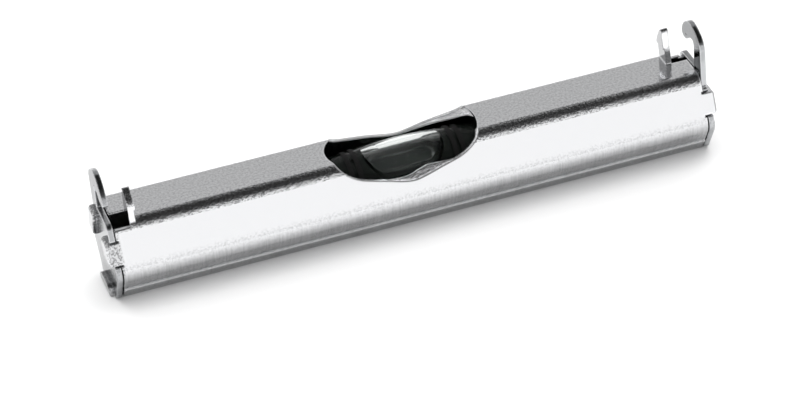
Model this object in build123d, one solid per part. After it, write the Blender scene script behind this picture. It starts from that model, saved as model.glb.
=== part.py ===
from build123d import *
import math
import os

# Pocket line level: a folded sheet body, two hooked end plates and a bubble vial in a top window
# Millimetres, origin at the middle of the bottom face, X along the body, Y to the back, Z up

# Vial, the piece that the body is folded round
vial_r = 4.2
vial_wall = 0.7
vial_length = 27.2
vial_chamfer = 0.8
vial_end_wall = 0.9
barrel_r = 80.0
bore_straight = 11.6
bore_end_wall = 0.5
vial_top_gap = 0.2
vial_side_gap = 0.17
vial_floor_gap = 1.5

# Body
body_length = 76.2
sheet = 0.5
wall_lean = 19.33
widest_z = 4.6
bottom_half = 2.9
front_corner_r = 1.75
back_corner_r = 0.6
side_corner_r = 1.9
bottom_corner_r = 0.8

# Seam low on the front wall
seam_z = 2.08
seam_rise = 1.5
seam_step = 0.22

# End plates
end_gap = 0.2
plate_t = 0.7
plate_fit = 0.1
plate_corner_r = 0.9

# Ears of the body folded over the end plates
ear_above_widest = 1.65
front_ear_width = 2.6
back_ear_rise = 1.1
side_ear_flap = 2.2
side_ear_round = 0.5
bottom_ear_half = 2.1
bottom_ear_flap = 1.6
bottom_ear_round = 0.9
ear_bulge = 0.65
ear_fold_r = 0.45
ear_gap = 0.25
relief_width = 0.28
relief_depth = 0.22

# Hook: sizes from the plate top, outline as shares of its span and crown height
hook_outer = 3.3
hook_shaft = 2.18
hook_span = 6.02
hook_straight = 3.4
hook_crown = 2.32
hook_over = [(0.125, 0.58), (0.316, 0.862), (0.515, 1.0), (0.698, 0.94), (0.864, 0.647), (0.963, 0.302)]
hook_under = [(0.95, -0.207), (0.855, -0.293), (0.764, -0.259), (0.65, -0.08), (0.53, 0.11), (0.43, 0.13)]
hook_throat = 0.388
dimple_r = 0.2
dimple_depth = 0.12
dimple_share = (0.748, 0.022)
left_hook_reach = 0.4
left_hook_droop = 0.33

# Finger and notch beside each hook
notch_length = 2.05
notch_start = 0.87
notch_depth = 0.82
finger_width = 2.25
right_finger_height = 5.1
right_finger_fold = 2.3
right_finger_lean = 3.0
left_finger_height = 3.4
left_finger_fold = 1.1
finger_lower_t = 0.72
finger_upper_t = 0.92

# Window in the top, with a deeper front lip than back lip
window_x = -0.45
window_half = 9.35
back_lip_shift = 0.6
back_lip_half = 8.95
window_left_bow = 0.9
window_right_bow = 0.45
front_lip_depth = 3.7
back_lip_depth = 2.05
front_lip_form = [(0.888, 0.303), (0.738, 0.546), (0.492, 0.73), (0.225, 0.903)]
back_lip_form = [(0.92, 0.17), (0.7, 0.39), (0.4, 0.62), (0.18, 0.87)]

# Bubble and the rings that frame it
bubble_length = 10.2
bubble_depth = 2.08
bubble_end = 2.3
bubble_over = 0.04
bubble_to_ring = 0.8
ring_pitch = 1.05
ring_width = 0.6
ring_t = 0.06

# Blocks that carry the vial ends
block_fit = 0.1
block_past_window = 1.4
block_past_vial = 3.4

# Places that follow from the sizes above
lean = math.radians(wall_lean)
body_height = 2 * sheet + vial_floor_gap + 2 * vial_r + vial_top_gap
axis_z = sheet + vial_floor_gap + vial_r
wall_away = vial_r + vial_side_gap + sheet
wall_top_y = (wall_away - (body_height - axis_z) * math.sin(lean)) / math.cos(lean)
widest_y = (wall_away - (widest_z - axis_z) * math.sin(lean)) / math.cos(lean)
flat_front = wall_top_y - front_corner_r * math.tan((math.pi / 2 - lean) / 2)
flat_back = wall_top_y - back_corner_r * math.tan((math.pi / 2 - lean) / 2)
body_half = body_length / 2
plate_in = body_half + end_gap
plate_out = plate_in + plate_t
ear_out = plate_out + ear_bulge
ear_low = widest_z + ear_above_widest
ear_high = ear_low + front_ear_width
bore_r = vial_r - vial_wall
bubble_floor = axis_z + bore_r - bubble_depth
bubble_half_width = math.sqrt(bore_r ** 2 - (bore_r - bubble_depth) ** 2)
clear = 2 * body_height


def box_between(x0, x1, y0, y1, z0, z1):
    """Box given by its two corners."""
    mid = ((x0 + x1) / 2, (y0 + y1) / 2, (z0 + z1) / 2)
    return Pos(*mid) * Box(abs(x1 - x0), abs(y1 - y0), abs(z1 - z0))


def moved_corners(pts, inset):
    """Corners of a convex outline after each side moves inward by the inset."""
    moved = []
    count = len(pts)
    for i in range(count):
        (ax, ay), (bx, by), (cx, cy) = pts[i - 1], pts[i], pts[(i + 1) % count]
        before, after = math.hypot(bx - ax, by - ay), math.hypot(cx - bx, cy - by)
        ux, uy = (bx - ax) / before, (by - ay) / before
        vx, vy = (cx - bx) / after, (cy - by) / after
        turn = ux * vy - uy * vx
        moved.append((bx + inset * (vx - ux) / turn, by + inset * (vy - uy) / turn))
    return moved


def section(inset=0.0, front_r=front_corner_r, back_r=back_corner_r):
    """Body section in the YZ plane, moved inward by the inset."""
    pts = [(-bottom_half, 0), (bottom_half, 0), (widest_y, widest_z), (wall_top_y, body_height)]
    pts += [(-wall_top_y, body_height), (-widest_y, widest_z)]
    pts = moved_corners(pts, inset)
    face = make_face(Polyline(*pts, close=True))
    radii = (bottom_corner_r, bottom_corner_r, side_corner_r, back_r, front_r, side_corner_r)
    for corner, radius in zip(pts, radii):
        if radius - inset > 0.05:
            face = fillet(face.vertices().sort_by_distance(corner)[0], radius - inset)
    return face


def prism(face, x0, x1):
    """A YZ face pulled along X from x0 to x1."""
    return extrude(Plane.YZ.offset(x0) * face, amount=x1 - x0)


def half_turned(solid):
    """The solid turned half a turn about the vertical axis."""
    return Rot(0, 0, 180) * solid


def mirrored(solid):
    """The solid mirrored to the other end."""
    return mirror(solid, about=Plane.YZ)


def sides_swapped(solid):
    """The solid mirrored from front to back."""
    return mirror(solid, about=Plane.XZ)


def ear_spans():
    """Side of the body with the lowest and highest point of its ear: front, then back."""
    return ((-1, ear_low, ear_high), (1, ear_low, ear_high + back_ear_rise))


def side_zone(grow):
    """Room that the front and back ears need in the right plate."""
    zones = []
    for sign, low, high in ear_spans():
        near, far = sign * bottom_half / 2, sign * clear
        zones.append(box_between(body_half - end_gap, ear_out + plate_t, near, far, low - grow, high + grow))
    return zones[0] + zones[1]


def bottom_zone(grow):
    """Room that the bottom ear needs in the right plate."""
    half = bottom_ear_half + grow
    return box_between(body_half - end_gap, ear_out + plate_t, -half, half, -sheet, ear_low / 2)


def side_form():
    """Form of the front and back ears seen from the side, with rounded outer corners."""
    forms = []
    x0 = body_half - 2 * side_ear_flap
    for sign, low, high in ear_spans():
        face = RectangleRounded(ear_out - x0, high - low, side_ear_round)
        face = Pos((x0 + ear_out) / 2, (low + high) / 2) * face
        forms.append(extrude(Plane.XZ.offset(-sign * clear) * face, amount=sign * (clear - bottom_half / 2)))
    return forms[0] + forms[1]


def bottom_form():
    """Form of the bottom ear seen from the end, with rounded corners."""
    face = RectangleRounded(2 * bottom_ear_half, 2 * bottom_ear_flap, bottom_ear_round)
    return prism(face, body_half - 2 * bottom_ear_flap, ear_out)


def right_ears():
    """Front, back and bottom ears of the right end, folded over the plate."""
    skin = prism(section(), body_half - end_gap, plate_out)
    skin -= prism(section(sheet), body_half - plate_t, plate_out + plate_t)
    fold = prism(section(), plate_out, ear_out)
    rim = fold.edges().filter_by(lambda e: abs(e.center().X - ear_out) < 0.001)
    fold = fillet(rim, ear_fold_r)
    side_fold = fold - prism(section(side_ear_flap), plate_out - plate_t, ear_out + plate_t)
    low_fold = fold - prism(section(bottom_ear_flap), plate_out - plate_t, ear_out + plate_t)
    side = (skin + side_fold) & side_form()
    low = (skin + low_fold) & bottom_form()
    return side + low


def right_reliefs():
    """Small cuts in the body end at both sides of each ear."""
    x0, x1 = body_half - relief_depth, body_half + end_gap
    cuts = []
    for sign, low, high in ear_spans():
        near, far = sign * bottom_half / 2, sign * clear
        cuts.append(box_between(x0, x1, near, far, high, high + relief_width))
        cuts.append(box_between(x0, x1, near, far, low - relief_width, low))
        edge = sign * bottom_ear_half
        cuts.append(box_between(x0, x1, edge, edge + sign * relief_width, -sheet, 2 * sheet))
    return cuts


def right_notch():
    """Opening through the top corner at the right end, beside the hook."""
    low = body_height - notch_depth
    return box_between(body_half - notch_length, ear_out, notch_start, clear, low, clear)


def finger(height, fold, lean_in):
    """Leaf bent up from the inner edge of the right notch, thicker above its fold line."""
    y0, low, top = notch_start, body_height - notch_depth, body_height + height
    foot = body_height - sheet * 0.96
    corner_drop = front_corner_r - notch_depth
    y1 = flat_front + math.sqrt(front_corner_r ** 2 - corner_drop ** 2) - sheet / 10
    start, end = (y0, top - 0.08 * height), (y1, low)
    form = [(0.19, 0.0), (0.47, 0.13), (0.78, 0.32), (1.0, 0.56), (1.03, 0.77)]
    points = [(y0 + u * finger_width, top - v * height) for u, v in form]
    under = Polyline(end, (flat_front, foot), (y0, foot), start)
    outline = make_face([Spline(start, *points, end), under])
    x1 = body_half - notch_length
    upper = prism(outline, x1 - finger_upper_t, x1)
    upper &= box_between(x1 - notch_length, x1 + plate_t, -clear, clear, body_height + fold, clear)
    leaf = prism(outline, x1 - finger_lower_t, x1) + upper
    return Pos(x1, 0, foot) * Rot(0, -lean_in, 0) * Pos(-x1, 0, -foot) * leaf


def lip_cutter(half, depth, form, y0, y1):
    """Cutter for one lip of the window, pulled along Y."""
    left = [(-half * u, body_height - depth * v) for u, v in form]
    right = [(half * u, body_height - depth * v) for u, v in reversed(form)]
    ends = [(-half, body_height), (half, body_height)]
    curve = Spline(ends[0], *left, (0, body_height - depth), *right, ends[1])
    sides = Polyline(ends[1], (half, clear), (-half, clear), ends[0])
    return extrude(Plane.XZ.offset(-y0) * make_face([curve, sides]), amount=y0 - y1)


def window_cutter():
    """Oval window: middle part cut downward, lips cut from the front and the back."""
    near, far, front = -flat_front, flat_back, window_half
    left_x, right_x = back_lip_shift - back_lip_half, back_lip_shift + back_lip_half
    right = ThreePointArc((front, near), ((right_x + front) / 2 + window_right_bow, 0), (right_x, far))
    left = ThreePointArc((left_x, far), ((left_x - front) / 2 - window_left_bow, 0), (-front, near))
    plan = make_face([right, Line((right_x, far), (left_x, far)), left, Line((-front, near), (front, near))])
    cutter = extrude(Plane.XY.offset(axis_z) * plan, amount=clear)
    cutter += lip_cutter(front, front_lip_depth, front_lip_form, near, -clear)
    back = lip_cutter(back_lip_half, back_lip_depth, back_lip_form, clear, far)
    return Pos(window_x, 0, 0) * (cutter + Pos(back_lip_shift, 0, 0) * back)


def on_front_wall(z, out):
    """Point on the lower front wall at the height z, moved outward."""
    slope = (widest_y - bottom_half) / widest_z
    run = math.hypot(slope, 1)
    return (-(bottom_half + slope * z) - out / run, z - out * slope / run)


def seam_strip():
    """Lapped edge of the sheet, a little proud of the front wall and rounded along its top."""
    low, high = seam_z - seam_rise, seam_z
    inner, soft = sheet / 5, seam_step / 2
    pts = [on_front_wall(low, -inner), on_front_wall(low, 0), on_front_wall(high - soft, seam_step)]
    pts += [on_front_wall(high, seam_step - soft), on_front_wall(high, -inner)]
    return prism(make_face(Polyline(*pts, close=True)), -body_half, body_half)


def body_shell():
    """Folded sheet body with window, notches, fingers, ears and seam."""
    shell = prism(section(), -body_half, body_half)
    shell -= prism(section(sheet), -ear_out, ear_out)
    shell += seam_strip()
    shell -= window_cutter()
    for cut in right_reliefs():
        shell -= cut
        shell -= mirrored(cut)
    shell -= right_notch()
    shell -= half_turned(right_notch())
    shell += finger(right_finger_height, right_finger_fold, right_finger_lean)
    shell += half_turned(finger(left_finger_height, left_finger_fold, 0))
    shell += right_ears()
    shell += mirrored(right_ears())
    return shell


def hook_spot(u, v, reach, droop):
    """Point of a hook from its shares of span and crown; the nose reaches out and droops by the amounts."""
    y = u * hook_span - hook_outer + reach * u ** 3
    return (y, body_height + hook_straight + (v - droop * u ** 4) * hook_crown)


def hook_face(foot, reach, droop):
    """Hook outline from its foot up, in the YZ plane."""
    bend = body_height + hook_straight
    inner = hook_shaft - hook_outer
    above = [hook_spot(u, v, reach, droop) for u, v in hook_over]
    below = [hook_spot(u, v, reach, droop) for u, v in hook_under]
    nose, throat = hook_spot(1, 0, reach, droop), (inner, bend - hook_throat * hook_crown)
    over = Spline((-hook_outer, bend), *above, nose)
    under = Spline(nose, *below, throat)
    shaft = Polyline(throat, (inner, foot), (-hook_outer, foot), (-hook_outer, bend))
    return make_face([over, under, shaft])


def plate_blank():
    """Right end plate without its hook, cut free of the ears."""
    plate = prism(section(0, plate_corner_r, plate_corner_r), plate_in, plate_out)
    core = prism(section(sheet + plate_fit), plate_in - plate_t, plate_out + plate_t)
    return plate - ((side_zone(ear_gap) + bottom_zone(ear_gap)) - core)


def hooked(plate, ear_top, reach, droop):
    """The plate with a hook that stands over the front ear."""
    foot = ear_top + ear_gap
    plate -= box_between(plate_in - plate_t, plate_out + plate_t, -clear, -hook_outer, foot, clear)
    plate += prism(hook_face(foot, reach, droop), plate_in, plate_out)
    y, z = hook_spot(*dimple_share, reach, droop)
    return plate - Pos(plate_in, y, z) * Rot(0, 90, 0) * Cylinder(dimple_r, 2 * dimple_depth)


def left_plate():
    """Left end plate, with its hook over the back ear."""
    plate = sides_swapped(plate_blank())
    return half_turned(hooked(plate, ear_high + back_ear_rise, left_hook_reach, left_hook_droop))


def bowed(radius, x):
    """Radius of the bowed side at the distance x from its middle."""
    return radius - barrel_r + math.sqrt(barrel_r ** 2 - x ** 2)


def on_vial_axis(outline):
    """Solid of revolution about the vial's axis from its half outline."""
    return Pos(window_x, 0, axis_z) * revolve(make_face(outline), Axis.X, 360)


def vial_outer():
    """Outer form of the vial: bowed side and chamfered flat ends."""
    half = vial_length / 2
    shoulder = half - vial_chamfer
    end_r = bowed(vial_r, shoulder)
    side = ThreePointArc((-shoulder, end_r), (0, vial_r), (shoulder, end_r))
    right = [(shoulder, end_r), (half, end_r - vial_chamfer), (half, 0)]
    left = [(-x, r) for x, r in reversed(right)]
    return on_vial_axis([side, Polyline(*right, *left)])


def vial_bore():
    """Space inside the vial: straight in the middle, narrower towards the ends."""
    half = vial_length / 2 - vial_end_wall
    right = [(bore_straight / 2, bore_r), (half, bowed(vial_r, half) - bore_end_wall), (half, 0)]
    left = [(-x, r) for x, r in reversed(right)]
    return on_vial_axis(Polyline(*right, *left, close=True))


def bubble_space():
    """Air bubble: an oblong with round ends above the liquid."""
    wide = bubble_half_width + bubble_over
    plan = RectangleRounded(bubble_length, 2 * wide, bubble_end)
    return Pos(window_x, 0, 0) * extrude(Plane.XY.offset(bubble_floor) * plan, amount=2 * bubble_depth)


def index_ring(place):
    """Thin ring round the vial glass."""
    inner = bowed(vial_r, abs(place) - ring_width / 2)
    ring = Cylinder(inner + ring_t, ring_width) - Cylinder(inner, ring_width)
    return Pos(window_x + place, 0, axis_z) * Rot(0, 90, 0) * ring


def ring_places():
    """Ring positions from the middle of the vial, two on each side of the bubble."""
    first = bubble_length / 2 + bubble_to_ring + ring_width / 2
    return (-first - ring_pitch, -first, first, first + ring_pitch)


def vial_block(sign):
    """Block that fills the body section and holds one vial end."""
    x0 = window_x + sign * (window_half + block_past_window)
    x1 = window_x + sign * (vial_length / 2 + block_past_vial)
    block = prism(section(sheet + block_fit), min(x0, x1), max(x0, x1))
    socket = Cylinder(bowed(vial_r, window_half + block_past_window), vial_length)
    return block - Pos(window_x, 0, axis_z) * Rot(0, 90, 0) * socket


def main():
    """Build each piece and write it to its own file."""
    os.makedirs("parts", exist_ok=True)
    bore = vial_bore()
    pieces = {
        "body_shell": body_shell(),
        "end_plate_right": hooked(plate_blank(), ear_high, 0, 0),
        "end_plate_left": left_plate(),
        "vial_glass": vial_outer() - bore,
        "vial_liquid": bore - bubble_space(),
        "vial_block_right": vial_block(1),
        "vial_block_left": vial_block(-1),
    }
    for number, place in enumerate(ring_places(), start=1):
        pieces["index_ring_%d" % number] = index_ring(place)
    for name, piece in pieces.items():
        export_step(piece, "parts/%s.step" % name)


main()
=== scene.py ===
import math

import bmesh
import bpy
from bpy.props import FloatProperty, FloatVectorProperty, IntProperty, PointerProperty
from mathutils import Matrix, Vector


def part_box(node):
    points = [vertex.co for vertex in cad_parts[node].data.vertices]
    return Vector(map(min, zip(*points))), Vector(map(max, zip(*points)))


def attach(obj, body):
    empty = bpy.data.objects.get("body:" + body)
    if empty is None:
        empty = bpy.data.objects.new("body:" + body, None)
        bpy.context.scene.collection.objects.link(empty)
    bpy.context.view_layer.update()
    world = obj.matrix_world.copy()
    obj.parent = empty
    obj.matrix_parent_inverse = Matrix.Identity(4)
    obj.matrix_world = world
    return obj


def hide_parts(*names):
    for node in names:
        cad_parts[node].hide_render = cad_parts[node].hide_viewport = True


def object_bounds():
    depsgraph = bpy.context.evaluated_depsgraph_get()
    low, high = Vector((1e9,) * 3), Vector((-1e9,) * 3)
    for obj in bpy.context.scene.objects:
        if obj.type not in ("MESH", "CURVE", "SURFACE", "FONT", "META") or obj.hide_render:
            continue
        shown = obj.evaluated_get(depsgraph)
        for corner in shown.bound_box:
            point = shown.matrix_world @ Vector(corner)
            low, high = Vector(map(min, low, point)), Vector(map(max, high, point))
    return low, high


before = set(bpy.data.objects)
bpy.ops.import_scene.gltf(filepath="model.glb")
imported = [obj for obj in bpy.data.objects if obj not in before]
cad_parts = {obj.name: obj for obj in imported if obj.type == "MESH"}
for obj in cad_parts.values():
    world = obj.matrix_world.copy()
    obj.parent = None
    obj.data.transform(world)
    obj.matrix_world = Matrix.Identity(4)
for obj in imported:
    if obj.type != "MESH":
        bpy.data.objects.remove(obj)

bl_info = {
    "name": "Line level",
    "version": (1, 0, 0),
    "blender": (4, 5, 0),
    "location": "View3D > Sidebar > Line level",
    "description": "Finishes a folded-sheet line level and sets its stage",
    "category": "Object",
}

MM = 0.001
CAD_BOX = [list(corner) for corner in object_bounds()]
VIAL_LOW, VIAL_HIGH = (Vector(corner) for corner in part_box("vial_glass"))
VIAL_MIDDLE = (VIAL_LOW + VIAL_HIGH) / 2
VIAL_RADIUS = (VIAL_HIGH.z - VIAL_LOW.z) / 2
BORE_RADIUS = VIAL_MIDDLE.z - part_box("vial_liquid")[0][2]
RING_NODES = ["index_ring_%d" % number for number in (1, 2, 3, 4)]
PLATE_NODES = ["end_plate_left", "end_plate_right"]
BLOCK_NODES = ["vial_block_left", "vial_block_right"]

# The side walls: half width at the top, how far they spread per unit of drop, and the height of the top
WALL_TOP, WALL_SPREAD, TOP = 3.442 * MM, 0.3508, 11.1 * MM

# The window's lips, in mm: distance along the body, and width of the back roll or height of the front strip
BACK_ROLL = [(-8.7, 0.5), (-4, 0.45), (0, 0.3), (2, 0.6), (4, 1.0), (6.4, 1.6), (8, 2.0), (9.2, 2.9)]
FRONT_ROLL = [(-3.8, 0.02), (-1.5, 0.4), (0.2, 0.8), (1.6, 0.85), (3.2, 0.45), (5.2, 0.02)]
BACK_ROLL_END = Vector((9.3 * MM, WALL_TOP - 0.42 * MM, TOP - 0.03 * MM))
# The window's rim on the wall's outside: lowest height, reach along the body, tolerance, step of the rolls
RIM_LOW, RIM_REACH, RIM_NEAR, RIM_STEP = 7 * MM, 9.4 * MM, 0.1 * MM, 0.3 * MM

# Places where a mask passes from 0 to 1: by height, along the body (X) or across it (Y)
OVER_TOP = (11.0 * MM, 11.6 * MM)
# LOW_WALL: the lower walls, whose colour is darkened as painted shade for the shadowed floor they mirror, and
# which carry the drawing lines
LOW_WALL = (6.3 * MM, 4.4 * MM)
UNDER_FOLD = (7.0 * MM, 6.2 * MM)
# The ear masks darken the ears as painted shade in their folds and turns
LEFT_EAR = (-37.6 * MM, -38.0 * MM)
RIGHT_EAR = (38.0 * MM, 38.3 * MM)
BACK_EAR = (0.0, 1.0 * MM)
CORNER_LEFT = (4.2 * MM, 6.0 * MM)
CORNER_RIGHT = (9.6 * MM, 8.2 * MM)
CORNER_BACK = (0.4 * MM, 1.4 * MM)
CORNER_HEIGHT = (9.6 * MM, 9.9 * MM)
RAGGED_EDGE = 2.0 * MM

# Parts of the normal where a mask passes from 0 to 1
# FACES_ALONG picks the faces of the hooks and leaves that take painted shade
FACES_ALONG = (0.8, 0.95)
FACES_UP = (0.9, 0.99)
OFF_TOP, OFF_WALL, ON_WALL = (0.995, 0.95), (0.34, 0.4), (0.3, 0.2)
# OFF_END, TURNS_RIGHT and OFF_RIGHT pick the ears' turned faces that take painted shade
OFF_END = (0.97, 0.8)
TURNS_RIGHT, OFF_RIGHT = (0.15, 0.5), (0.99, 0.9)
CORNER_RISE = (0.5, 0.7)

# Noise where a mask passes from 0 to 1
SPECKLES = (0.35, 0.68)
PITS = (0.5, 0.6)
CLOUDS = (0.5, 0.62)
MOTTLE = (0.46, 0.58)

# Plating: share of the colour kept where it is dulled and where painted shade darkens it, tint at a glance,
# depths of the lines, whose least depth is the lower walls' painted shade, bump and corner's lean
DULL_AND_SHADE_SHARE, GLANCE = 0.35, 0.75
LOW_SHADE_LEAST, LINE_SWING, LINE_HEIGHT = 0.46, 0.5, 1.5
SPECKLE_ROUGHNESS, SPECKLE_HEIGHT, CORNER_BUMP = 0.08, 0.3, 1.5
CORNER_LEAN = 0.22
# The first is the least painted shade over the left ears, the second adds mottle on the back ear
EAR_SHADE, BACK_EAR_CRUMPLE = 0.25, 0.07

# Sky: parts of the view's direction where one brightness passes into the next
BEHIND_MID, BEHIND_TOP = (0.2, 0.44), (0.78, 0.88)
AHEAD_MID, AHEAD_TOP = (0.24, 0.5), (0.42, 0.8)
AHEAD_TO_BEHIND = (-0.1, 0.1)
SOFTBOX_PLACE, FILL_PLACE = (0.1, 0.25, 0.9), (-0.2, -0.9, 0.45)
SENSOR_WIDTH = 36.0

BARREL_STEPS = 40
BUBBLE_POINTS = 96
# Rows of the bubble's surface, as shares of its half width inward from its rim
BUBBLE_ROWS = (1.0, 0.75, 0.5, 0.35, 0.25, 0.18, 0.12, 0.07, 0.03, 0.01)


class LevelMetal(bpy.types.PropertyGroup):
    """Plated sheet of the body and the end plates."""

    colour: FloatVectorProperty(name="Plating", description="Colour of the plating", subtype="COLOR",
                                size=3, min=0, max=1, default=(0.9, 0.905, 0.92))
    plate_colour: FloatVectorProperty(name="Plates", description="Colour of the duller end plates",
                                      subtype="COLOR", size=3, min=0, max=1, default=(0.48, 0.488, 0.5))
    edge_colour: FloatVectorProperty(name="Edges", description="Colour of cut and rubbed edges",
                                     subtype="COLOR", size=3, min=0, max=1, default=(0.78, 0.785, 0.8))
    roughness: FloatProperty(name="Roughness", description="Roughness of the bright plating",
                             subtype="FACTOR", min=0, max=1, default=0.07)
    # Painted shade: how much the hooks and leaves over the top are darkened, for the dimmer surroundings they
    # reflect
    hook_shade: FloatProperty(name="Hook shade", description="How dull the hooks and leaves are",
                             subtype="FACTOR", min=0, max=1, default=0.6)
    orange_peel: FloatProperty(name="Orange peel", description="Height of the plating's fine unevenness",
                               subtype="DISTANCE", unit="LENGTH", min=0, default=0.00004)
    grain: FloatProperty(name="Grain", description="Size of the speckle in the plating", subtype="DISTANCE",
                         unit="LENGTH", min=0, default=0.0003)
    speckle: FloatProperty(name="Speckle", description="Depth of the grey speckle on faces that look up",
                           subtype="FACTOR", min=0, max=1, default=0.38)
    pits: FloatProperty(name="Pits", description="Depth of the dark specks along the rounded corners",
                        subtype="FACTOR", min=0, max=1, default=0.6)
    streak: FloatProperty(name="Streak", description="Spacing of the drawing lines across the lower walls",
                          subtype="DISTANCE", unit="LENGTH", min=0, default=0.00018)
    edge: FloatProperty(name="Edge", description="Radius to which the sheet edges are rubbed",
                        subtype="DISTANCE", unit="LENGTH", min=0, default=0.0003)


class LevelVial(bpy.types.PropertyGroup):
    """Vial, liquid and bubble."""

    glass_colour: FloatVectorProperty(name="Glass", description="Tint of the vial glass", subtype="COLOR",
                                      size=3, min=0, max=1, default=(0.88, 0.91, 0.9))
    # The liquid is clear; its near-black colour is painted shade for the dark inside of the closed body
    liquid_shade: FloatVectorProperty(name="Liquid", description="Colour of the liquid in its dark housing",
                                       subtype="COLOR", size=3, min=0, max=1, default=(0.007, 0.0085, 0.0075))
    ring_colour: FloatVectorProperty(name="Rings", description="Colour of the index rings", subtype="COLOR",
                                     size=3, min=0, max=1, default=(0.004, 0.004, 0.004))
    glass_segments: IntProperty(name="Segments", description="Faces round the vial", min=16, default=96)
    barrel_radius: FloatProperty(name="Bow", description="Radius of the bowed side", subtype="DISTANCE",
                                 unit="LENGTH", min=0.01, default=0.08)
    chamfer: FloatProperty(name="Chamfer", description="Chamfer at the vial's ends", subtype="DISTANCE",
                           unit="LENGTH", min=0, default=0.0008)
    bubble_length: FloatProperty(name="Bubble length", description="Length of the air bubble",
                                 subtype="DISTANCE", unit="LENGTH", min=0, default=0.0102)
    bubble_depth: FloatProperty(name="Bubble depth", description="Depth of the bubble under the bore's top",
                                subtype="DISTANCE", unit="LENGTH", min=0, default=0.00208)
    bubble_end: FloatProperty(name="Bubble end", description="Length of the bubble's rounded end",
                              subtype="DISTANCE", unit="LENGTH", min=0, default=0.0023)
    bubble_half_width: FloatProperty(name="Bubble half width", description="Half the width of the air bubble",
                                     subtype="DISTANCE", unit="LENGTH", min=0, default=0.00295)
    meniscus: FloatProperty(name="Meniscus", description="Width over which the liquid climbs the glass",
                            subtype="DISTANCE", unit="LENGTH", min=0.00001, default=0.0012)


class LevelStage(bpy.types.PropertyGroup):
    """Camera, floor and light."""

    lens: FloatProperty(name="Lens", description="Focal length on a 36 mm sensor", subtype="DISTANCE_CAMERA",
                        min=10, default=162.02)
    place: FloatVectorProperty(name="Camera place", description="Where the camera stands",
                               subtype="TRANSLATION", unit="LENGTH", size=3,
                               default=(-0.101017, -0.360498, 0.250106))
    yaw: FloatProperty(name="Yaw", description="Camera turn about the upright axis", subtype="ANGLE",
                       default=-0.270)
    pitch: FloatProperty(name="Pitch", description="Camera tilt below the horizon", subtype="ANGLE",
                         default=-0.586)
    roll: FloatProperty(name="Roll", description="Camera roll about its view", subtype="ANGLE",
                        default=-0.100)
    floor_size: FloatProperty(name="Floor size", description="Width of the floor", subtype="DISTANCE",
                              unit="LENGTH", min=1, default=6.0)
    floor_colour: FloatVectorProperty(name="Floor", description="Colour of the floor", subtype="COLOR",
                                      size=3, min=0, max=1, default=(0.93, 0.93, 0.93))
    sky_low: FloatProperty(name="Low sky", description="Brightness near the horizon", min=0, default=1.0)
    sky_mid: FloatProperty(name="Middle sky", description="Brightness at middle height", min=0, default=0.53)
    sky_front: FloatProperty(name="Front sky", description="Brightness at middle height behind the camera",
                             min=0, default=0.2)
    sky_top: FloatProperty(name="High sky", description="Brightness overhead", min=0, default=0.03)
    softbox_power: FloatProperty(name="Softbox", description="Power of the overhead softbox", unit="POWER",
                                 min=0, default=20.0)
    fill_power: FloatProperty(name="Fill", description="Power of the lamp that lightens the front shadow",
                              unit="POWER", min=0, default=3.6)
    softbox_size: FloatProperty(name="Softbox size", description="Width of the overhead softbox",
                                subtype="DISTANCE", unit="LENGTH", min=0.01, default=1.8)


class NodeTree:
    """Short calls that add nodes to a material, world or group and link them."""

    def __init__(self, tree):
        self.tree = tree

    def add(self, kind, **inputs):
        """Node of this kind with its named inputs set or linked."""
        node = self.tree.nodes.new(kind)
        for name, value in inputs.items():
            self.put(node.inputs[name.replace("_", " ")], value)
        return node

    def put(self, socket, value):
        """Link a socket to another one, or set its value."""
        if isinstance(value, bpy.types.NodeSocket):
            self.tree.links.new(value, socket)
        else:
            socket.default_value = value

    def math(self, operation, first, second, clamp=False):
        """Result of a calculation with two values."""
        node = self.tree.nodes.new("ShaderNodeMath")
        node.operation = operation
        node.use_clamp = clamp
        self.put(node.inputs[0], first)
        self.put(node.inputs[1], second)
        return node.outputs[0]

    def product(self, first, *others):
        """All the values multiplied."""
        for other in others:
            first = self.math("MULTIPLY", first, other)
        return first

    def largest(self, first, *others):
        """The largest of the values."""
        for other in others:
            first = self.math("MAXIMUM", first, other)
        return first

    def size(self, value):
        """Value without its sign."""
        node = self.tree.nodes.new("ShaderNodeMath")
        node.operation = "ABSOLUTE"
        self.put(node.inputs[0], value)
        return node.outputs[0]

    def split(self, vector):
        """X, Y and Z of a vector."""
        parts = self.add("ShaderNodeSeparateXYZ", Vector=vector).outputs
        return parts["X"], parts["Y"], parts["Z"]

    def vector_math(self, operation, *vectors):
        """Node that joins vectors."""
        node = self.tree.nodes.new("ShaderNodeVectorMath")
        node.operation = operation
        for socket, vector in zip(node.inputs, vectors):
            self.put(socket, vector)
        return node

    def noise(self, vector, scale, detail, rough=0.55):
        """Noise from 0 to 1."""
        node = self.add("ShaderNodeTexNoise", Vector=vector, Scale=scale, Detail=detail, Roughness=rough)
        return node.outputs["Fac"]

    def ramp(self, factor, low, high):
        """Smooth step: 0 at low, 1 at high, which may be the smaller one."""
        node = self.tree.nodes.new("ShaderNodeMapRange")
        node.interpolation_type = "SMOOTHSTEP"
        self.put(node.inputs["Value"], factor)
        self.put(node.inputs["From Min"], low)
        self.put(node.inputs["From Max"], high)
        return node.outputs["Result"]

    def mix(self, factor, first, second):
        """Colour between two colours."""
        node = self.tree.nodes.new("ShaderNodeMix")
        node.data_type = "RGBA"
        self.put(node.inputs["Factor"], factor)
        self.put(node.inputs[6], first)
        self.put(node.inputs[7], second)
        return node.outputs[2]


def rgba(colour):
    """Colour with full alpha."""
    return (*colour[:3], 1.0)


def grey(value):
    """Grey of this brightness with full alpha."""
    return (value, value, value, 1.0)


def scaled(colour, share):
    """Colour times a share, with full alpha."""
    return rgba([channel * share for channel in colour])


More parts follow.
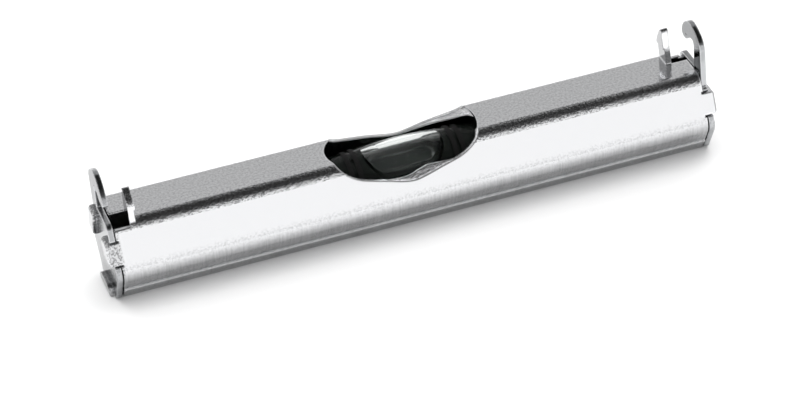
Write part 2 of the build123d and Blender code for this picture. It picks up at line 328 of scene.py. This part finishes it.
def new_group(name, inputs, outputs):
    """Empty shader node group with its sockets; inputs and outputs are (name, kind, default)."""
    group = bpy.data.node_groups.new(name, "ShaderNodeTree")
    for label, kind, default in inputs:
        socket = group.interface.new_socket(label, in_out="INPUT", socket_type=kind)
        if default is not None:
            socket.default_value = default
    for label, kind in outputs:
        group.interface.new_socket(label, in_out="OUTPUT", socket_type=kind)
    tree = NodeTree(group)
    return tree, tree.add("NodeGroupInput"), tree.add("NodeGroupOutput")


def plating_grain_group():
    """Speckle, clouds and drawing lines of plated sheet."""
    found = bpy.data.node_groups.get("plating grain")
    if found:
        return found
    real, vector = "NodeSocketFloat", "NodeSocketVector"
    tree, start, end = new_group(
        "plating grain",
        [("Place", vector, None), ("Grain", real, 0.0002), ("Streak", real, 0.0002)],
        [("Speckle", real), ("Clouds", real), ("Lines", real)])
    place = start.outputs["Place"]
    fine = tree.math("DIVIDE", 1.0, start.outputs["Grain"])
    tree.put(end.inputs["Speckle"], tree.noise(place, fine, 3.0, 0.7))
    broad = tree.math("DIVIDE", 0.07, start.outputs["Grain"])
    tree.put(end.inputs["Clouds"], tree.noise(place, broad, 4.0, 0.6))
    stretched = tree.add("ShaderNodeMapping", Vector=place, Scale=(1.0, 0.05, 0.05))
    close = tree.math("DIVIDE", 1.0, start.outputs["Streak"])
    tree.put(end.inputs["Lines"], tree.noise(stretched.outputs["Vector"], close, 2.0, 0.6))
    return tree.tree


def rubbed_edge_group():
    """Mask of the edges within a radius, and the normal that rounds them."""
    found = bpy.data.node_groups.get("rubbed edge")
    if found:
        return found
    tree, start, end = new_group(
        "rubbed edge",
        [("Radius", "NodeSocketFloat", 0.0001)],
        [("Edge", "NodeSocketFloat"), ("Normal", "NodeSocketVector")])
    bevel = tree.add("ShaderNodeBevel", Radius=start.outputs["Radius"])
    bevel.samples = 6
    flat = tree.add("ShaderNodeNewGeometry")
    dot = tree.vector_math("DOT_PRODUCT", bevel.outputs["Normal"], flat.outputs["Normal"])
    turned = tree.math("SUBTRACT", 1.0, dot.outputs["Value"])
    tree.put(end.inputs["Edge"], tree.ramp(turned, 0.02, 0.25))
    tree.put(end.inputs["Normal"], bevel.outputs["Normal"])
    return tree.tree


def new_material(name):
    """Material with an empty tree, its output node and a Principled BSDF."""
    material = bpy.data.materials.new(name)
    material.use_nodes = True
    material.node_tree.nodes.clear()
    tree = NodeTree(material.node_tree)
    shader = tree.add("ShaderNodeBsdfPrincipled")
    tree.add("ShaderNodeOutputMaterial", Surface=shader.outputs["BSDF"])
    return material, tree, shader


def place_group(tree, group, **inputs):
    """Group node in a material with its inputs set."""
    node = tree.tree.nodes.new("ShaderNodeGroup")
    node.node_tree = group
    for name, value in inputs.items():
        tree.put(node.inputs[name], value)
    return node


def shaded_hook_faces(tree, height):
    """Painted shade mask of the leaves and hooks over the top, on the faces that look along the body: their
    colour is darkened to stand in for the dimmer surroundings they reflect.
    """
    along, _, _ = tree.split(tree.add("ShaderNodeNewGeometry").outputs["True Normal"])
    return tree.product(tree.ramp(tree.size(along), *FACES_ALONG), tree.ramp(height, *OVER_TOP))


def shaded_ears(tree, place, grain, amount):
    """Painted shade mask of the ears: mottled darkening over the left ears and their folds, dark turns of the
    sheet at the right end, where shade falls in the bends.
    """
    along, across, _ = tree.split(place)
    signed, _, _ = tree.split(tree.add("ShaderNodeNewGeometry").outputs["Normal"])
    crumpled = tree.product(tree.ramp(across, *BACK_EAR), BACK_EAR_CRUMPLE)
    mottle = tree.ramp(tree.math("ADD", grain.outputs["Speckle"], crumpled), *MOTTLE)
    fold = tree.product(tree.largest(tree.ramp(tree.size(signed), *OFF_END), crumpled), mottle)
    left = tree.math("ADD", EAR_SHADE, tree.product(fold, 1 - EAR_SHADE))
    left = tree.product(tree.ramp(along, *LEFT_EAR), left)
    turned = tree.product(tree.ramp(signed, *TURNS_RIGHT), tree.ramp(signed, *OFF_RIGHT))
    right = tree.product(tree.ramp(along, *RIGHT_EAR), turned)
    return tree.product(tree.largest(left, right), amount)


def turned_faces(tree, height):
    """Masks from the normal: faces that look up, and the rounded corners beside them and under the walls."""
    _, _, rise = tree.split(tree.add("ShaderNodeNewGeometry").outputs["Normal"])
    corner = tree.product(tree.ramp(rise, *OFF_TOP), tree.ramp(rise, *OFF_WALL))
    below = tree.product(tree.ramp(rise, *ON_WALL), tree.ramp(height, *UNDER_FOLD))
    return tree.ramp(rise, *FACES_UP), tree.largest(corner, below)


def rolled_corner(tree, place):
    """Mask of the top beside the window's right back corner, where the sheet rolls back a little."""
    along, across, height = tree.split(place)
    _, _, rise = tree.split(tree.add("ShaderNodeNewGeometry").outputs["True Normal"])
    return tree.product(tree.ramp(along, *CORNER_LEFT), tree.ramp(along, *CORNER_RIGHT),
                        tree.ramp(across, *CORNER_BACK), tree.ramp(rise, *CORNER_RISE),
                        tree.ramp(height, *CORNER_HEIGHT))


def plating_normal(tree, metal, place, grain, edge, drawn_and_shaded, corner, line_depth):
    """Normal of the plating: rounded edges, fine unevenness, drawing lines and the rolled corner's lean."""
    rough = tree.math("ADD", SPECKLE_HEIGHT, tree.product(corner, CORNER_BUMP * line_depth))
    relief = tree.product(grain.outputs["Speckle"], rough)
    lines = tree.product(grain.outputs["Lines"], drawn_and_shaded)
    relief = tree.math("ADD", relief, tree.product(lines, LINE_HEIGHT))
    bump = tree.add("ShaderNodeBump", Height=relief, Distance=metal.orange_peel, Strength=1.0)
    tree.put(bump.inputs["Normal"], edge.outputs["Normal"])
    lean = tree.product(rolled_corner(tree, place), CORNER_LEAN * line_depth)
    back = tree.add("ShaderNodeCombineXYZ", Y=lean)
    leant = tree.vector_math("ADD", bump.outputs["Normal"], back.outputs["Vector"])
    return tree.vector_math("NORMALIZE", leant.outputs["Vector"]).outputs["Vector"]


def plated_material(name, metal, colour, line_depth, blotch):
    """Nickel-plated steel: speckle, drawing lines low on the walls, rubbed edges and dark blotches, with
    painted shade that darkens the lower walls, the hooks and leaves over the top and the ears.

    The line depth is 1 for the body's sheet and 0 for the plates, which have no lines, painted low-wall
    shade, ears or rolled corner.
    """
    material, tree, shader = new_material(name)
    place = tree.add("ShaderNodeTexCoord").outputs["Object"]
    grain = place_group(tree, plating_grain_group(), Place=place, Grain=metal.grain, Streak=metal.streak)
    edge = place_group(tree, rubbed_edge_group(), Radius=metal.edge)
    _, _, height = tree.split(place)
    ragged = tree.product(tree.math("SUBTRACT", grain.outputs["Speckle"], 0.5), RAGGED_EDGE)
    # Painted shade: the lower walls are darkened, standing in for their reflection of the shadowed floor
    # beneath; the drawing lines streak this shade
    low = tree.ramp(tree.math("ADD", height, ragged), *LOW_WALL)
    drawn_and_shaded = tree.product(low, line_depth)
    upward, corner = turned_faces(tree, height)
    ears = shaded_ears(tree, place, grain, line_depth)

    lines = tree.math("ADD", LOW_SHADE_LEAST, tree.product(grain.outputs["Lines"], LINE_SWING))
    speckle = tree.ramp(grain.outputs["Speckle"], *SPECKLES)
    # Darkened colour: blotches, drawing lines, speckle and pits are the plating's own; the lower walls, the
    # hooks and leaves over the top and the ears carry painted shade
    dull_and_shaded = tree.largest(
        tree.product(tree.ramp(grain.outputs["Clouds"], *CLOUDS), blotch),
        tree.product(drawn_and_shaded, lines),
        tree.product(shaded_hook_faces(tree, height), metal.hook_shade),
        tree.product(speckle, upward, metal.speckle),
        tree.product(tree.ramp(grain.outputs["Speckle"], *PITS), corner, metal.pits),
        ears)
    tint = tree.mix(dull_and_shaded, rgba(colour), scaled(colour, DULL_AND_SHADE_SHARE))
    bright = tree.math("SUBTRACT", edge.outputs["Edge"], tree.largest(low, ears), clamp=True)
    tree.put(shader.inputs["Base Color"], tree.mix(bright, tint, rgba(metal.edge_colour)))
    shader.inputs["Metallic"].default_value = 1.0
    shader.inputs["Specular Tint"].default_value = grey(GLANCE)
    roughness = tree.math("ADD", metal.roughness, tree.product(speckle, SPECKLE_ROUGHNESS))
    tree.put(shader.inputs["Roughness"], roughness)
    normal = plating_normal(tree, metal, place, grain, edge, drawn_and_shaded, corner, line_depth)
    tree.put(shader.inputs["Normal"], normal)
    return material


def glass_material(vial):
    """Clear glass of the vial."""
    material, tree, shader = new_material("vial glass")
    place = tree.add("ShaderNodeTexCoord").outputs["Object"]
    smear = tree.ramp(tree.noise(place, 900.0, 4.0), 0.45, 0.75)
    tree.put(shader.inputs["Roughness"], tree.product(smear, 0.01))
    shader.inputs["Base Color"].default_value = rgba(vial.glass_colour)
    shader.inputs["Transmission Weight"].default_value = 1.0
    shader.inputs["IOR"].default_value = 1.48
    shader.inputs["Specular Tint"].default_value = grey(0.0)
    return material


def liquid_material(vial):
    """Liquid, coloured near black: painted shade for the dark inside of the closed body, as the liquid itself
    is clear.
    """
    material, tree, shader = new_material("vial liquid")
    place = tree.add("ShaderNodeTexCoord").outputs["Object"]
    cloud = tree.noise(place, 400.0, 2.0)
    shades = rgba(vial.liquid_shade), scaled(vial.liquid_shade, 1.8)
    tree.put(shader.inputs["Base Color"], tree.mix(cloud, *shades))
    shader.inputs["Roughness"].default_value = 0.3
    shader.inputs["Specular IOR Level"].default_value = 0.05
    return material


def ring_material(vial):
    """Matt ink of the index rings."""
    material, tree, shader = new_material("ring ink")
    place = tree.add("ShaderNodeTexCoord").outputs["Object"]
    grain = tree.noise(place, 6000.0, 3.0)
    shades = rgba(vial.ring_colour), scaled(vial.ring_colour, 3)
    tree.put(shader.inputs["Base Color"], tree.mix(tree.ramp(grain, 0.5, 0.8), *shades))
    tree.put(shader.inputs["Roughness"], tree.math("ADD", 0.55, tree.product(grain, 0.2)))
    shader.inputs["Specular IOR Level"].default_value = 0.2
    return material


def shaded_block_material():
    """Moulded blocks that hold the vial, coloured near black as painted shade for the dark inside of the
    body.
    """
    material, tree, shader = new_material("vial block")
    place = tree.add("ShaderNodeTexCoord").outputs["Object"]
    grain = tree.noise(place, 3000.0, 4.0)
    tree.put(shader.inputs["Base Color"], tree.mix(grain, grey(0.006), grey(0.02)))
    shader.inputs["Roughness"].default_value = 0.7
    bump = tree.add("ShaderNodeBump", Height=grain, Distance=0.05 * MM, Strength=0.4)
    tree.put(shader.inputs["Normal"], bump.outputs["Normal"])
    return material


def set_material(obj, material):
    """The material in every slot of the object."""
    if not obj.data.materials:
        obj.data.materials.append(material)
    for index in range(len(obj.data.materials)):
        obj.data.materials[index] = material


def add_piece(name, bm, material, smooth=True):
    """Object from a bmesh, riding on the one body."""
    mesh = bpy.data.meshes.new(name)
    bm.to_mesh(mesh)
    bm.free()
    mesh.materials.append(material)
    for face in mesh.polygons:
        face.use_smooth = smooth
    obj = bpy.data.objects.new(name, mesh)
    bpy.context.scene.collection.objects.link(obj)
    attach(obj, "root")
    return obj


def quads(bm, one, two):
    """Faces between two closed rows of points, triangles where a row is one point; gives them back."""
    faces = []
    count = max(len(one), len(two))
    for step in range(count):
        after = (step + 1) % count
        corners = [one[step % len(one)], one[after % len(one)], two[after % len(two)], two[step % len(two)]]
        faces.append(bm.faces.new(list(dict.fromkeys(corners))))
    return faces


def revolved(profile, segments):
    """Closed surface from (x, r) points turned about the vial's axis."""
    bm = bmesh.new()
    rings = []
    for x, r in profile:
        ring = []
        for step in range(segments if r else 1):
            turn = 2 * math.pi * step / segments
            spot = (VIAL_MIDDLE.x + x, r * math.cos(turn), VIAL_MIDDLE.z + r * math.sin(turn))
            ring.append(bm.verts.new(spot))
        rings.append(ring)
    for one, two in zip(rings, rings[1:]):
        quads(bm, one, two)
    bmesh.ops.recalc_face_normals(bm, faces=bm.faces)
    return bm


def barrel_profile(vial):
    """Outer profile of the vial: bowed side, chamfered flat ends."""
    half = (VIAL_HIGH.x - VIAL_LOW.x) / 2
    shoulder = half - vial.chamfer
    side = []
    for step in range(BARREL_STEPS + 1):
        x = -shoulder + 2 * shoulder * step / BARREL_STEPS
        side.append((x, VIAL_RADIUS - x ** 2 / (2 * vial.barrel_radius)))
    end_r = side[0][1] - vial.chamfer
    return [(-half, 0), (-half, end_r), *side, (half, end_r), (half, 0)]


def bubble_loop(vial, inset):
    """Plan of the bubble, moved inward: straight sides and elliptic ends, from the vial's middle."""
    wide = vial.bubble_half_width - inset
    straight = vial.bubble_length / 2 - vial.bubble_end
    long = vial.bubble_end - min(inset, vial.bubble_end * 0.98)
    points = []
    for step in range(BUBBLE_POINTS):
        turn = 2 * math.pi * (step + 0.5) / BUBBLE_POINTS
        side = 1 if math.cos(turn) >= 0 else -1
        points.append((side * straight + long * math.cos(turn), wide * math.sin(turn)))
    return points


def bubble_cavity(bm, vial):
    """Air bubble as a hollow in the glass: the bore above, the liquid's curved surface below.

    The level middle of the lower surface takes the piece's second material, the liquid, whose near-black
    colour is painted shade.
    """
    floor = BORE_RADIUS - vial.bubble_depth + 0.03 * MM
    top_radius = BORE_RADIUS - 0.01 * MM
    middle = vial.bubble_half_width * 0.98
    insets = [middle * share for share in BUBBLE_ROWS]
    loops = []
    for inset in insets:
        climb = max(0.0, 1 - inset / vial.meniscus) ** 2
        loops.append([(x, y, floor + (math.sqrt(top_radius ** 2 - y * y) - floor) * climb)
                      for x, y in bubble_loop(vial, inset)])
    for inset in reversed(insets):
        loops.append([(x, y, math.sqrt(top_radius ** 2 - y * y)) for x, y in bubble_loop(vial, inset)])
    rows = [[bm.verts.new((VIAL_MIDDLE.x + x, y, VIAL_MIDDLE.z + z)) for x, y, z in loop] for loop in loops]
    faces = []
    for one, two in zip(rows, rows[1:]):
        faces += quads(bm, one, two)
    faces.append(bm.faces.new(rows[0][::-1]))
    faces.append(bm.faces.new(rows[-1]))
    level = VIAL_MIDDLE.z + floor + 0.001 * MM
    for face in faces:
        if all(vert.co.z < level for vert in face.verts):
            face.material_index = 1
    bmesh.ops.recalc_face_normals(bm, faces=faces)
    bmesh.ops.reverse_faces(bm, faces=faces)


def between(table, x):
    """Value of a table of (x, value) pairs at x."""
    for (x0, v0), (x1, v1) in zip(table, table[1:]):
        if x <= x1:
            return v0 + (v1 - v0) * max(0.0, x - x0) / max(x1 - x0, 1e-9)
    return table[-1][1]


def lip_rim(side, table):
    """Outer rim of the window's lip at the front (-1) or the back (1): even steps over the table's length."""
    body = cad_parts["body_shell"]
    rim = []
    for vertex in body.data.vertices:
        spot = body.matrix_world @ vertex.co
        away = spot.y * side - (WALL_TOP + (TOP - spot.z) * WALL_SPREAD)
        if abs(away) < RIM_NEAR and spot.z > RIM_LOW and abs(spot.x) < RIM_REACH:
            rim.append((spot.x, spot.z))
    rim.sort()
    low, high = max(table[0][0] * MM, rim[0][0]), min(table[-1][0] * MM, rim[-1][0])
    count = round((high - low) / RIM_STEP)
    spots = []
    for step in range(count + 1):
        x = low + (high - low) * step / count
        z = between(rim, x)
        spots.append(Vector((x, side * (WALL_TOP + (TOP - z) * WALL_SPREAD), z)))
    return spots


def skinned(stations):
    """Closed surface through sections with the same number of points."""
    bm = bmesh.new()
    rows = [[bm.verts.new(point) for point in station] for station in stations]
    for one, two in zip(rows, rows[1:]):
        quads(bm, one, two)
    bm.faces.new(rows[0])
    bm.faces.new(rows[-1])
    bmesh.ops.recalc_face_normals(bm, faces=bm.faces)
    return bm


def back_roll():
    """Roll of sheet along the back lip, widest at the window's right end; sizes in mm."""
    inset, shoulder, sheet, slope = 0.03, 0.25, 0.27, 0.12
    highest = TOP - 0.01 * MM
    stations = []
    for spot in [*lip_rim(1, BACK_ROLL), BACK_ROLL_END]:
        wide = between(BACK_ROLL, spot.x / MM)
        edge = slope * (wide - shoulder) - inset
        section = [(inset, inset), (shoulder, -inset), (wide, edge), (wide, edge - sheet), (inset, -sheet)]
        stations.append([(spot.x, spot.y - d * MM, min(spot.z + h * MM, highest)) for d, h in section])
    return skinned(stations)


def front_roll():
    """Pressed strip that stands up from the front lip and leans inward; sizes in mm."""
    foot, sheet, lean = 0.05, 0.3, 0.75
    stations = []
    for spot in lip_rim(-1, FRONT_ROLL):
        tall = between(FRONT_ROLL, spot.x / MM)
        near = foot + lean * tall
        section = [(foot, -foot), (near, tall), (near + sheet, tall), (foot + sheet, -foot)]
        stations.append([(spot.x, spot.y + d * MM, spot.z + h * MM) for d, h in section])
    return skinned(stations)


class LEVEL_OT_body(bpy.types.Operator):
    """Plate the folded body"""

    bl_idname = "level.body"
    bl_label = "Body"

    def execute(self, context):
        metal = context.scene.level_metal
        finish = plated_material("plated sheet", metal, metal.colour, line_depth=1.0, blotch=0.0)
        set_material(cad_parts["body_shell"], finish)
        for name, roll in (("back_lip_roll", back_roll()), ("front_lip_roll", front_roll())):
            add_piece(name, roll, finish, smooth=False)
        return {"FINISHED"}


class LEVEL_OT_plates(bpy.types.Operator):
    """Plate the two hooked end plates"""

    bl_idname = "level.plates"
    bl_label = "End plates"

    def execute(self, context):
        metal = context.scene.level_metal
        finish = plated_material("plated plate", metal, metal.plate_colour, line_depth=0.0, blotch=0.3)
        for name in PLATE_NODES:
            set_material(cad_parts[name], finish)
        return {"FINISHED"}


class LEVEL_OT_vial(bpy.types.Operator):
    """Make the glass and finish the liquid, the rings and the blocks"""

    bl_idname = "level.vial"
    bl_label = "Vial"

    def execute(self, context):
        vial = context.scene.level_vial
        tube = revolved(barrel_profile(vial), vial.glass_segments)
        bubble_cavity(tube, vial)
        liquid = liquid_material(vial)
        glass = add_piece("vial_tube", tube, glass_material(vial))
        glass.data.materials.append(liquid)
        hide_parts("vial_glass")
        set_material(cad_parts["vial_liquid"], liquid)
        ink = ring_material(vial)
        for name in RING_NODES:
            set_material(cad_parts[name], ink)
        block = shaded_block_material()
        for name in BLOCK_NODES:
            set_material(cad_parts[name], block)
        return {"FINISHED"}


class LEVEL_OT_stage(bpy.types.Operator):
    """Lay the floor and set the light and the camera"""

    bl_idname = "level.stage"
    bl_label = "Stage"

    def execute(self, context):
        stage = context.scene.level_stage
        add_floor(stage)
        add_sky(context.scene, stage)
        add_lamp("softbox", SOFTBOX_PLACE, stage.softbox_size, stage.softbox_power)
        add_lamp("fill", FILL_PLACE, stage.softbox_size / 2, stage.fill_power)
        add_camera(context.scene, stage)
        context.scene.view_settings.view_transform = "Standard"
        return {"FINISHED"}


def add_floor(stage):
    """Pale floor that keeps the shadow."""
    bm = bmesh.new()
    bmesh.ops.create_grid(bm, x_segments=1, y_segments=1, size=stage.floor_size / 2)
    mesh = bpy.data.meshes.new("floor")
    bm.to_mesh(mesh)
    bm.free()
    floor = bpy.data.objects.new("floor", mesh)
    floor.location.z = CAD_BOX[0][2]
    bpy.context.scene.collection.objects.link(floor)
    material, _, shader = new_material("floor paper")
    shader.inputs["Base Color"].default_value = rgba(stage.floor_colour)
    shader.inputs["Roughness"].default_value = 0.9
    shader.inputs["Specular IOR Level"].default_value = 0.0
    mesh.materials.append(material)


def add_sky(scene, stage):
    """Studio sky: white near the horizon, grey higher up and dark overhead."""
    world = bpy.data.worlds.new("studio sky")
    world.use_nodes = True
    world.node_tree.nodes.clear()
    tree = NodeTree(world.node_tree)
    _, depth, height = tree.split(tree.add("ShaderNodeTexCoord").outputs["Generated"])
    behind = tree.mix(tree.ramp(height, *BEHIND_MID), grey(stage.sky_low), grey(stage.sky_mid))
    behind = tree.mix(tree.ramp(height, *BEHIND_TOP), behind, grey(stage.sky_top))
    ahead = tree.mix(tree.ramp(height, *AHEAD_MID), grey(stage.sky_low), grey(stage.sky_front))
    ahead = tree.mix(tree.ramp(height, *AHEAD_TOP), ahead, grey(stage.sky_top))
    colour = tree.mix(tree.ramp(depth, *AHEAD_TO_BEHIND), ahead, behind)
    background = tree.add("ShaderNodeBackground", Color=colour)
    tree.add("ShaderNodeOutputWorld", Surface=background.outputs["Background"])
    scene.world = world


def add_lamp(name, place, size, power):
    """Square lamp that looks at the object and isn't mirrored by the metal."""
    light = bpy.data.lights.new(name, "AREA")
    light.shape = "SQUARE"
    light.size = size
    light.energy = power
    lamp = bpy.data.objects.new(name, light)
    lamp.location = place
    lamp.rotation_euler = (-lamp.location).to_track_quat("-Z", "Y").to_euler()
    lamp.visible_glossy = False
    bpy.context.scene.collection.objects.link(lamp)


def add_camera(scene, stage):
    """Camera at the photograph's view."""
    data = bpy.data.cameras.new("camera")
    data.sensor_width = SENSOR_WIDTH
    data.lens = stage.lens
    data.clip_start = 0.01
    data.clip_end = 20.0
    camera = bpy.data.objects.new("camera", data)
    turn = Matrix.Rotation(stage.yaw, 3, "Z")
    tilt = Matrix.Rotation(math.pi / 2 + stage.pitch, 3, "X")
    roll = Matrix.Rotation(stage.roll, 3, "Z")
    camera.matrix_world = Matrix.Translation(stage.place) @ (turn @ tilt @ roll).to_4x4()
    scene.collection.objects.link(camera)
    scene.camera = camera


class LEVEL_PT_panel(bpy.types.Panel):
    """Lists the steps that make the line level"""

    bl_label = "Line level"
    bl_space_type = "VIEW_3D"
    bl_region_type = "UI"
    bl_category = "Line level"

    def draw(self, context):
        for operator in OPERATORS:
            self.layout.operator(operator.bl_idname)
        for group in (context.scene.level_metal, context.scene.level_vial, context.scene.level_stage):
            box = self.layout.box()
            for name in group.__annotations__:
                box.prop(group, name)


OPERATORS = (LEVEL_OT_body, LEVEL_OT_plates, LEVEL_OT_vial, LEVEL_OT_stage)
CLASSES = (LevelMetal, LevelVial, LevelStage, *OPERATORS, LEVEL_PT_panel)


def register():
    """Register the classes and hang the settings on the scene."""
    for cls in CLASSES:
        bpy.utils.register_class(cls)
    bpy.types.Scene.level_metal = PointerProperty(type=LevelMetal)
    bpy.types.Scene.level_vial = PointerProperty(type=LevelVial)
    bpy.types.Scene.level_stage = PointerProperty(type=LevelStage)


def unregister():
    """Take the settings and the classes away again."""
    del bpy.types.Scene.level_metal
    del bpy.types.Scene.level_vial
    del bpy.types.Scene.level_stage
    for cls in reversed(CLASSES):
        bpy.utils.unregister_class(cls)


def main():
    """Make every piece, then the stage."""
    register()
    bpy.ops.level.body()
    bpy.ops.level.plates()
    bpy.ops.level.vial()
    bpy.ops.level.stage()


if __name__ == "__main__":
    main()
